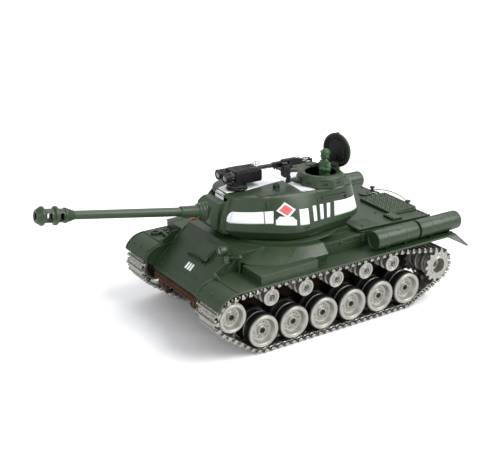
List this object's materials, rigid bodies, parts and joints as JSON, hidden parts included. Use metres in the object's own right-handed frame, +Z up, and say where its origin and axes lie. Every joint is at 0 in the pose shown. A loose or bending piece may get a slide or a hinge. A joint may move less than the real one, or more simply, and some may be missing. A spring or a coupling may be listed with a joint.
{
  "type": "radio-controlled model tank",
  "caption": "Radio-controlled model tank with sprung running gear, metal tracks, turning turret, elevating recoiling gun, open cupola with crew figure, and rear fuel drums.",
  "frame": {"origin": "on the ground under the middle of the bounding box", "axes": "-Y towards the nose and muzzle, +X towards the tank's left side, +Z up; millimetre solids stored in metres"},
  "size_m": [0.194, 0.455, 0.19],
  "materials": {
    "hull_paint": "satin dark green paint over moulded plastic",
    "lower_hull_paint": "matt brown, dusty",
    "arm_metal": "brown painted cast metal",
    "wheel_metal": "bare cast metal, satin",
    "track_metal": "bare cast metal, satin",
    "barrel_paint": "turned metal tube, green paint",
    "black_plastic": "satin black",
    "gearbox_case": "moulded case",
    "battery_wrap": "shrink wrap",
    "circuit_board": "solder mask",
    "figure_paint": "satin mid green"
  },
  "bodies": {
    "hull": {"lower_hull": "lower_hull_paint", "upper_hull": "hull_paint", "engine_deck": "hull_paint", "headlamp": "hull_paint", "fuel_drums_left": "hull_paint", "fuel_drums_right": "hull_paint", "gearbox_left": "gearbox_case", "gearbox_right": "gearbox_case", "battery_pack": "battery_wrap", "control_board": "circuit_board", "turret_motor": "gearbox_case", "track_left": "track_metal", "track_right": "track_metal"},
    "turret": {"turret_shell": "hull_paint", "cupola": "hull_paint", "crew_figure": "figure_paint", "infrared_unit": "black_plastic"},
    "gun_mount": {"mantlet": "hull_paint"},
    "barrel": {"gun_barrel": "barrel_paint"},
    "hatch": {"cupola_hatch": "hull_paint"},
    "mg_cradle": {"gun_cradle": "black_plastic"},
    "mg": {"machine_gun": "black_plastic"},
    "sprocket_left": {"drive_sprocket_left": "wheel_metal"},
    "idler_left": {"idler_wheel_left": "wheel_metal"},
    "arm_left_1": {"swing_arm_left_1": "arm_metal"},
    "wheel_left_1": {"road_wheel_left_1": "wheel_metal"},
    "arm_left_2": {"swing_arm_left_2": "arm_metal"},
    "wheel_left_2": {"road_wheel_left_2": "wheel_metal"},
    "arm_left_3": {"swing_arm_left_3": "arm_metal"},
    "wheel_left_3": {"road_wheel_left_3": "wheel_metal"},
    "arm_left_4": {"swing_arm_left_4": "arm_metal"},
    "wheel_left_4": {"road_wheel_left_4": "wheel_metal"},
    "arm_left_5": {"swing_arm_left_5": "arm_metal"},
    "wheel_left_5": {"road_wheel_left_5": "wheel_metal"},
    "arm_left_6": {"swing_arm_left_6": "arm_metal"},
    "wheel_left_6": {"road_wheel_left_6": "wheel_metal"},
    "roller_left_1": {"return_roller_left_1": "wheel_metal"},
    "roller_left_2": {"return_roller_left_2": "wheel_metal"},
    "roller_left_3": {"return_roller_left_3": "wheel_metal"},
    "roller_left_4": {"return_roller_left_4": "wheel_metal"},
    "roller_left_5": {"return_roller_left_5": "wheel_metal"},
    "sprocket_right": {"drive_sprocket_right": "wheel_metal"},
    "idler_right": {"idler_wheel_right": "wheel_metal"},
    "arm_right_1": {"swing_arm_right_1": "arm_metal"},
    "wheel_right_1": {"road_wheel_right_1": "wheel_metal"},
    "arm_right_2": {"swing_arm_right_2": "arm_metal"},
    "wheel_right_2": {"road_wheel_right_2": "wheel_metal"},
    "arm_right_3": {"swing_arm_right_3": "arm_metal"},
    "wheel_right_3": {"road_wheel_right_3": "wheel_metal"},
    "arm_right_4": {"swing_arm_right_4": "arm_metal"},
    "wheel_right_4": {"road_wheel_right_4": "wheel_metal"},
    "arm_right_5": {"swing_arm_right_5": "arm_metal"},
    "wheel_right_5": {"road_wheel_right_5": "wheel_metal"},
    "arm_right_6": {"swing_arm_right_6": "arm_metal"},
    "wheel_right_6": {"road_wheel_right_6": "wheel_metal"},
    "roller_right_1": {"return_roller_right_1": "wheel_metal"},
    "roller_right_2": {"return_roller_right_2": "wheel_metal"},
    "roller_right_3": {"return_roller_right_3": "wheel_metal"},
    "roller_right_4": {"return_roller_right_4": "wheel_metal"},
    "roller_right_5": {"return_roller_right_5": "wheel_metal"}
  },
  "joints": [
    {"name": "turret_traverse", "type": "hinge", "parent": "hull", "child": "turret", "pos_m": [0, 0.0401, 0.09609], "axis": [0, 0, 1], "range_deg": [-157, 163]},
    {"name": "gun_elevation", "type": "hinge", "parent": "turret", "child": "gun_mount", "pos_m": [-0.00335, -0.02381, 0.11819], "axis": [-0.9986, 0.0523, 0], "range_deg": [-11.9, 9.1]},
    {"name": "barrel_recoil", "type": "slide", "parent": "gun_mount", "child": "barrel", "axis": [0.0517, 0.9866, -0.1547], "range_m": [0, 0.01], "stiffness_N_per_m": 200, "springref_m": -0.01},
    {"name": "hatch_hinge", "type": "hinge", "parent": "turret", "child": "hatch", "pos_m": [0.02765, 0.08959, 0.15279], "axis": [0.9803, 0.1977, 0], "range_deg": [-11, 28]},
    {"name": "mg_traverse", "type": "hinge", "parent": "turret", "child": "mg_cradle", "pos_m": [0.02393, 0.03424, 0.16679], "axis": [0, 0, 1], "range_deg": [-18, 18]},
    {"name": "mg_elevation", "type": "hinge", "parent": "mg_cradle", "child": "mg", "pos_m": [0.02393, 0.03424, 0.16679], "axis": [-0.9936, 0.1132, 0], "range_deg": [0, 12]},
    {"name": "sprocket_turn_left", "type": "hinge", "parent": "hull", "child": "sprocket_left", "pos_m": [0.075, 0.18815, 0.04103], "axis": [1, 0, 0], "continuous": true},
    {"name": "idler_turn_left", "type": "hinge", "parent": "hull", "child": "idler_left", "pos_m": [0.075, -0.0769, 0.04745], "axis": [1, 0, 0], "continuous": true},
    {"name": "arm_swing_left_1", "type": "hinge", "parent": "hull", "child": "arm_left_1", "pos_m": [0.0527, -0.06034, 0.02859], "axis": [1, 0, 0], "range_deg": [0, 12], "stiffness_Nm_per_rad": 0.6, "springref_deg": -8.59},
    {"name": "wheel_turn_left_1", "type": "hinge", "parent": "arm_left_1", "child": "wheel_left_1", "pos_m": [0.075, -0.0409, 0.0239], "axis": [1, 0, 0], "continuous": true},
    {"name": "arm_swing_left_2", "type": "hinge", "parent": "hull", "child": "arm_left_2", "pos_m": [0.0527, -0.02319, 0.02859], "axis": [1, 0, 0], "range_deg": [0, 12], "stiffness_Nm_per_rad": 0.6, "springref_deg": -8.59},
    {"name": "wheel_turn_left_2", "type": "hinge", "parent": "arm_left_2", "child": "wheel_left_2", "pos_m": [0.075, -0.00375, 0.0239], "axis": [1, 0, 0], "continuous": true},
    {"name": "arm_swing_left_3", "type": "hinge", "parent": "hull", "child": "arm_left_3", "pos_m": [0.0527, 0.01396, 0.02859], "axis": [1, 0, 0], "range_deg": [0, 12], "stiffness_Nm_per_rad": 0.6, "springref_deg": -8.59},
    {"name": "wheel_turn_left_3", "type": "hinge", "parent": "arm_left_3", "child": "wheel_left_3", "pos_m": [0.075, 0.0334, 0.0239], "axis": [1, 0, 0], "continuous": true},
    {"name": "arm_swing_left_4", "type": "hinge", "parent": "hull", "child": "arm_left_4", "pos_m": [0.0527, 0.05111, 0.02859], "axis": [1, 0, 0], "range_deg": [0, 12], "stiffness_Nm_per_rad": 0.6, "springref_deg": -8.59},
    {"name": "wheel_turn_left_4", "type": "hinge", "parent": "arm_left_4", "child": "wheel_left_4", "pos_m": [0.075, 0.07055, 0.0239], "axis": [1, 0, 0], "continuous": true},
    {"name": "arm_swing_left_5", "type": "hinge", "parent": "hull", "child": "arm_left_5", "pos_m": [0.0527, 0.08826, 0.02859], "axis": [1, 0, 0], "range_deg": [0, 12], "stiffness_Nm_per_rad": 0.6, "springref_deg": -8.59},
    {"name": "wheel_turn_left_5", "type": "hinge", "parent": "arm_left_5", "child": "wheel_left_5", "pos_m": [0.075, 0.1077, 0.0239], "axis": [1, 0, 0], "continuous": true},
    {"name": "arm_swing_left_6", "type": "hinge", "parent": "hull", "child": "arm_left_6", "pos_m": [0.0527, 0.12541, 0.02859], "axis": [1, 0, 0], "range_deg": [0, 12], "stiffness_Nm_per_rad": 0.6, "springref_deg": -8.59},
    {"name": "wheel_turn_left_6", "type": "hinge", "parent": "arm_left_6", "child": "wheel_left_6", "pos_m": [0.075, 0.14485, 0.0239], "axis": [1, 0, 0], "continuous": true},
    {"name": "roller_turn_left_1", "type": "hinge", "parent": "hull", "child": "roller_left_1", "pos_m": [0.075, -0.0313, 0.05789], "axis": [1, 0, 0], "continuous": true},
    {"name": "roller_turn_left_2", "type": "hinge", "parent": "hull", "child": "roller_left_2", "pos_m": [0.075, 0.0106, 0.05789], "axis": [1, 0, 0], "continuous": true},
    {"name": "roller_turn_left_3", "type": "hinge", "parent": "hull", "child": "roller_left_3", "pos_m": [0.075, 0.0491, 0.05789], "axis": [1, 0, 0], "continuous": true},
    {"name": "roller_turn_left_4", "type": "hinge", "parent": "hull", "child": "roller_left_4", "pos_m": [0.075, 0.0876, 0.05789], "axis": [1, 0, 0], "continuous": true},
    {"name": "roller_turn_left_5", "type": "hinge", "parent": "hull", "child": "roller_left_5", "pos_m": [0.075, 0.1236, 0.05789], "axis": [1, 0, 0], "continuous": true},
    {"name": "sprocket_turn_right", "type": "hinge", "parent": "hull", "child": "sprocket_right", "pos_m": [-0.075, 0.18815, 0.04103], "axis": [1, 0, 0], "continuous": true},
    {"name": "idler_turn_right", "type": "hinge", "parent": "hull", "child": "idler_right", "pos_m": [-0.075, -0.0769, 0.04745], "axis": [1, 0, 0], "continuous": true},
    {"name": "arm_swing_right_1", "type": "hinge", "parent": "hull", "child": "arm_right_1", "pos_m": [-0.0527, -0.06034, 0.02859], "axis": [1, 0, 0], "range_deg": [0, 12], "stiffness_Nm_per_rad": 0.6, "springref_deg": -8.59},
    {"name": "wheel_turn_right_1", "type": "hinge", "parent": "arm_right_1", "child": "wheel_right_1", "pos_m": [-0.075, -0.0409, 0.0239], "axis": [1, 0, 0], "continuous": true},
    {"name": "arm_swing_right_2", "type": "hinge", "parent": "hull", "child": "arm_right_2", "pos_m": [-0.0527, -0.02319, 0.02859], "axis": [1, 0, 0], "range_deg": [0, 12], "stiffness_Nm_per_rad": 0.6, "springref_deg": -8.59},
    {"name": "wheel_turn_right_2", "type": "hinge", "parent": "arm_right_2", "child": "wheel_right_2", "pos_m": [-0.075, -0.00375, 0.0239], "axis": [1, 0, 0], "continuous": true},
    {"name": "arm_swing_right_3", "type": "hinge", "parent": "hull", "child": "arm_right_3", "pos_m": [-0.0527, 0.01396, 0.02859], "axis": [1, 0, 0], "range_deg": [0, 12], "stiffness_Nm_per_rad": 0.6, "springref_deg": -8.59},
    {"name": "wheel_turn_right_3", "type": "hinge", "parent": "arm_right_3", "child": "wheel_right_3", "pos_m": [-0.075, 0.0334, 0.0239], "axis": [1, 0, 0], "continuous": true},
    {"name": "arm_swing_right_4", "type": "hinge", "parent": "hull", "child": "arm_right_4", "pos_m": [-0.0527, 0.05111, 0.02859], "axis": [1, 0, 0], "range_deg": [0, 12], "stiffness_Nm_per_rad": 0.6, "springref_deg": -8.59},
    {"name": "wheel_turn_right_4", "type": "hinge", "parent": "arm_right_4", "child": "wheel_right_4", "pos_m": [-0.075, 0.07055, 0.0239], "axis": [1, 0, 0], "continuous": true},
    {"name": "arm_swing_right_5", "type": "hinge", "parent": "hull", "child": "arm_right_5", "pos_m": [-0.0527, 0.08826, 0.02859], "axis": [1, 0, 0], "range_deg": [0, 12], "stiffness_Nm_per_rad": 0.6, "springref_deg": -8.59},
    {"name": "wheel_turn_right_5", "type": "hinge", "parent": "arm_right_5", "child": "wheel_right_5", "pos_m": [-0.075, 0.1077, 0.0239], "axis": [1, 0, 0], "continuous": true},
    {"name": "arm_swing_right_6", "type": "hinge", "parent": "hull", "child": "arm_right_6", "pos_m": [-0.0527, 0.12541, 0.02859], "axis": [1, 0, 0], "range_deg": [0, 12], "stiffness_Nm_per_rad": 0.6, "springref_deg": -8.59},
    {"name": "wheel_turn_right_6", "type": "hinge", "parent": "arm_right_6", "child": "wheel_right_6", "pos_m": [-0.075, 0.14485, 0.0239], "axis": [1, 0, 0], "continuous": true},
    {"name": "roller_turn_right_1", "type": "hinge", "parent": "hull", "child": "roller_right_1", "pos_m": [-0.075, -0.0313, 0.05789], "axis": [1, 0, 0], "continuous": true},
    {"name": "roller_turn_right_2", "type": "hinge", "parent": "hull", "child": "roller_right_2", "pos_m": [-0.075, 0.0106, 0.05789], "axis": [1, 0, 0], "continuous": true},
    {"name": "roller_turn_right_3", "type": "hinge", "parent": "hull", "child": "roller_right_3", "pos_m": [-0.075, 0.0491, 0.05789], "axis": [1, 0, 0], "continuous": true},
    {"name": "roller_turn_right_4", "type": "hinge", "parent": "hull", "child": "roller_right_4", "pos_m": [-0.075, 0.0876, 0.05789], "axis": [1, 0, 0], "continuous": true},
    {"name": "roller_turn_right_5", "type": "hinge", "parent": "hull", "child": "roller_right_5", "pos_m": [-0.075, 0.1236, 0.05789], "axis": [1, 0, 0], "continuous": true}
  ],
  "couplings": [
    {"joint": "idler_turn_left", "follows": "sprocket_turn_left", "ratio": 0.9497},
    {"joint": "wheel_turn_left_1", "follows": "sprocket_turn_left", "ratio": 0.8343},
    {"joint": "wheel_turn_left_2", "follows": "sprocket_turn_left", "ratio": 0.8343},
    {"joint": "wheel_turn_left_3", "follows": "sprocket_turn_left", "ratio": 0.8343},
    {"joint": "wheel_turn_left_4", "follows": "sprocket_turn_left", "ratio": 0.8343},
    {"joint": "wheel_turn_left_5", "follows": "sprocket_turn_left", "ratio": 0.8343},
    {"joint": "wheel_turn_left_6", "follows": "sprocket_turn_left", "ratio": 0.8343},
    {"joint": "roller_turn_left_1", "follows": "sprocket_turn_left", "ratio": 1.6778},
    {"joint": "roller_turn_left_2", "follows": "sprocket_turn_left", "ratio": 1.6778},
    {"joint": "roller_turn_left_3", "follows": "sprocket_turn_left", "ratio": 1.6778},
    {"joint": "roller_turn_left_4", "follows": "sprocket_turn_left", "ratio": 1.6778},
    {"joint": "roller_turn_left_5", "follows": "sprocket_turn_left", "ratio": 1.6778},
    {"joint": "idler_turn_right", "follows": "sprocket_turn_right", "ratio": 0.9497},
    {"joint": "wheel_turn_right_1", "follows": "sprocket_turn_right", "ratio": 0.8343},
    {"joint": "wheel_turn_right_2", "follows": "sprocket_turn_right", "ratio": 0.8343},
    {"joint": "wheel_turn_right_3", "follows": "sprocket_turn_right", "ratio": 0.8343},
    {"joint": "wheel_turn_right_4", "follows": "sprocket_turn_right", "ratio": 0.8343},
    {"joint": "wheel_turn_right_5", "follows": "sprocket_turn_right", "ratio": 0.8343},
    {"joint": "wheel_turn_right_6", "follows": "sprocket_turn_right", "ratio": 0.8343},
    {"joint": "roller_turn_right_1", "follows": "sprocket_turn_right", "ratio": 1.6778},
    {"joint": "roller_turn_right_2", "follows": "sprocket_turn_right", "ratio": 1.6778},
    {"joint": "roller_turn_right_3", "follows": "sprocket_turn_right", "ratio": 1.6778},
    {"joint": "roller_turn_right_4", "follows": "sprocket_turn_right", "ratio": 1.6778},
    {"joint": "roller_turn_right_5", "follows": "sprocket_turn_right", "ratio": 1.6778}
  ]
}
